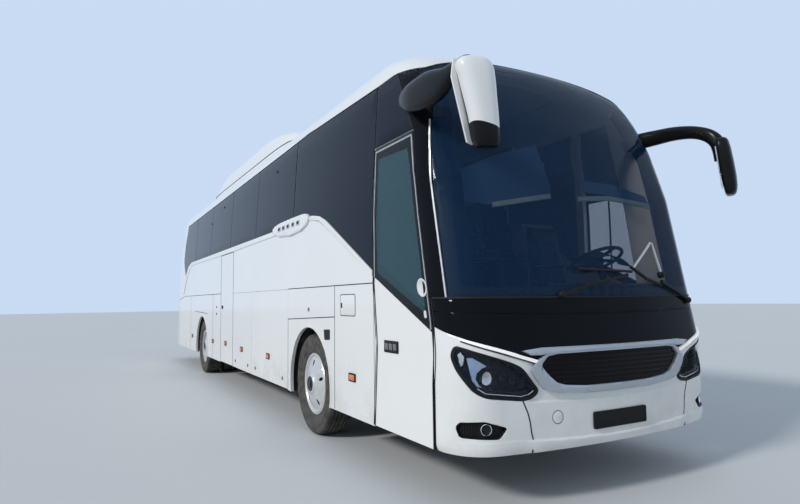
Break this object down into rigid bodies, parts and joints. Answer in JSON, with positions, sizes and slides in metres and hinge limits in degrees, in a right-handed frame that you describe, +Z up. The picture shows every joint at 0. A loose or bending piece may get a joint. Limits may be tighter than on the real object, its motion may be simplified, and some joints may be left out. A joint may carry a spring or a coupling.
{
  "type": "coach bus",
  "caption": "High-deck touring coach with a leaning windscreen, roof unit, swing-out passenger doors, top-hinged luggage flaps and a rear engine lid.",
  "frame": {"origin": "on the ground under the middle of the whole coach, mirrors included", "axes": "+Z up, -Y to the front of the coach, -X to its right side, where the passenger doors are"},
  "size_m": [2.92, 12.595, 3.7699],
  "materials": {
    "white_paint": "gloss",
    "black_gloss": "gloss",
    "dark_glass": "tinted",
    "lamp_lens": "clear lens",
    "red_lens": "red lens",
    "silver_trim": "satin",
    "black_plastic": "matt",
    "floor_cover": "matt",
    "rack_plastic": "matt",
    "frame_paint": "satin",
    "cast_metal": "rough",
    "wheel_metal": "silver gloss",
    "tyre_rubber": "matt",
    "seat_fabric": "woven"
  },
  "bodies": {
    "coach_body": {"side_wall_right": "white_paint", "side_wall_left": "white_paint", "side_glass_right": "dark_glass", "side_glass_left": "dark_glass", "roof": "white_paint", "windscreen": "dark_glass", "front_frame": "black_gloss", "front_mask": "black_gloss", "headlamps": "lamp_lens", "grille": "black_gloss", "grille_frame": "silver_trim", "front_bumper": "white_paint", "rear_glass": "dark_glass", "tail_lamps": "red_lens", "rear_wall": "white_paint", "rear_bumper": "white_paint", "roof_unit": "white_paint", "mirror_right": "black_gloss", "mirror_left": "black_gloss", "cabin_floor": "floor_cover", "wheel_housings": "black_plastic", "underframe": "frame_paint", "front_axle": "frame_paint", "rear_axle": "frame_paint", "engine": "cast_metal", "passenger_seats": "seat_fabric", "driver_seat": "seat_fabric", "dashboard": "black_plastic", "luggage_racks": "rack_plastic", "wipers": "black_plastic"},
    "steering_knuckle_left": {"knuckle_left": "cast_metal"},
    "front_wheel_left": {"tyre_front_left": "tyre_rubber", "rim_front_left": "wheel_metal"},
    "rear_wheel_left": {"tyre_rear_left": "tyre_rubber", "rim_rear_left": "wheel_metal"},
    "steering_knuckle_right": {"knuckle_right": "cast_metal"},
    "front_wheel_right": {"tyre_front_right": "tyre_rubber", "rim_front_right": "wheel_metal"},
    "rear_wheel_right": {"tyre_rear_right": "tyre_rubber", "rim_rear_right": "wheel_metal"},
    "steering_wheel": {"steering_wheel": "black_plastic"},
    "front_door_drive": {"front_door_arm": "frame_paint"},
    "front_door": {"front_door": "black_gloss", "front_door_glass": "dark_glass"},
    "mid_door_drive": {"mid_door_arm": "frame_paint"},
    "mid_door": {"mid_door": "white_paint"},
    "flap_right_front": {"flap_right_front": "white_paint"},
    "flap_right_rear": {"flap_right_rear": "white_paint"},
    "flap_left_front": {"flap_left_front": "white_paint"},
    "flap_left_middle": {"flap_left_middle": "white_paint"},
    "flap_left_rear": {"flap_left_rear": "white_paint"},
    "engine_lid": {"engine_lid": "white_paint"}
  },
  "joints": [
    {"name": "steer_left", "type": "hinge", "parent": "coach_body", "child": "steering_knuckle_left", "pos_m": [0.99, -3.1475, 0.512], "axis": [0, 0, 1], "range_deg": [-45, 45]},
    {"name": "front_wheel_left_spin", "type": "hinge", "parent": "steering_knuckle_left", "child": "front_wheel_left", "pos_m": [1.095, -3.1475, 0.512], "axis": [1, 0, 0], "continuous": true},
    {"name": "rear_wheel_left_spin", "type": "hinge", "parent": "coach_body", "child": "rear_wheel_left", "pos_m": [0.92, 2.9325, 0.512], "axis": [1, 0, 0], "continuous": true},
    {"name": "steer_right", "type": "hinge", "parent": "coach_body", "child": "steering_knuckle_right", "pos_m": [-0.99, -3.1475, 0.512], "axis": [0, 0, 1], "range_deg": [-45, 45]},
    {"name": "front_wheel_right_spin", "type": "hinge", "parent": "steering_knuckle_right", "child": "front_wheel_right", "pos_m": [-1.095, -3.1475, 0.512], "axis": [1, 0, 0], "continuous": true},
    {"name": "rear_wheel_right_spin", "type": "hinge", "parent": "coach_body", "child": "rear_wheel_right", "pos_m": [-0.92, 2.9325, 0.512], "axis": [1, 0, 0], "continuous": true},
    {"name": "steering_wheel_turn", "type": "hinge", "parent": "coach_body", "child": "steering_wheel", "pos_m": [0.62, -5.2775, 1.69], "axis": [0, 0.4226, 0.9063], "range_deg": [-720, 720]},
    {"name": "front_door_swing", "type": "hinge", "parent": "coach_body", "child": "front_door_drive", "pos_m": [-1.15, -5.4275, 0.8], "axis": [0, 0, 1], "range_deg": [0, 125]},
    {"name": "front_door_hang", "type": "hinge", "parent": "front_door_drive", "child": "front_door", "pos_m": [-1.15, -4.9575, 0.8], "axis": [0, 0, 1], "range_deg": [-125, 0]},
    {"name": "mid_door_swing", "type": "hinge", "parent": "coach_body", "child": "mid_door_drive", "pos_m": [-1.15, 1.0725, 0.8], "axis": [0, 0, -1], "range_deg": [0, 125]},
    {"name": "mid_door_hang", "type": "hinge", "parent": "mid_door_drive", "child": "mid_door", "pos_m": [-1.15, 0.6025, 0.8], "axis": [0, 0, -1], "range_deg": [-125, 0]},
    {"name": "flap_right_front_lift", "type": "hinge", "parent": "coach_body", "child": "flap_right_front", "pos_m": [-1.266, -1.645, 1.49], "axis": [0, 1, 0], "range_deg": [0, 88]},
    {"name": "flap_right_rear_lift", "type": "hinge", "parent": "coach_body", "child": "flap_right_rear", "pos_m": [-1.266, -0.2725, 1.49], "axis": [0, 1, 0], "range_deg": [0, 88]},
    {"name": "flap_left_front_lift", "type": "hinge", "parent": "coach_body", "child": "flap_left_front", "pos_m": [1.266, -1.645, 1.49], "axis": [0, -1, 0], "range_deg": [0, 88]},
    {"name": "flap_left_middle_lift", "type": "hinge", "parent": "coach_body", "child": "flap_left_middle", "pos_m": [1.266, -0.0525, 1.49], "axis": [0, -1, 0], "range_deg": [0, 88]},
    {"name": "flap_left_rear_lift", "type": "hinge", "parent": "coach_body", "child": "flap_left_rear", "pos_m": [1.266, 1.495, 1.49], "axis": [0, -1, 0], "range_deg": [0, 88]},
    {"name": "engine_lid_lift", "type": "hinge", "parent": "coach_body", "child": "engine_lid", "pos_m": [0, 6.2885, 1.243], "axis": [1, 0, 0], "range_deg": [0, 75]}
  ],
  "couplings": [
    {"joint": "steer_right", "follows": "steer_left", "ratio": 1},
    {"joint": "steering_wheel_turn", "follows": "steer_left", "ratio": 16},
    {"joint": "front_door_hang", "follows": "front_door_swing", "ratio": -1},
    {"joint": "mid_door_hang", "follows": "mid_door_swing", "ratio": -1}
  ]
}
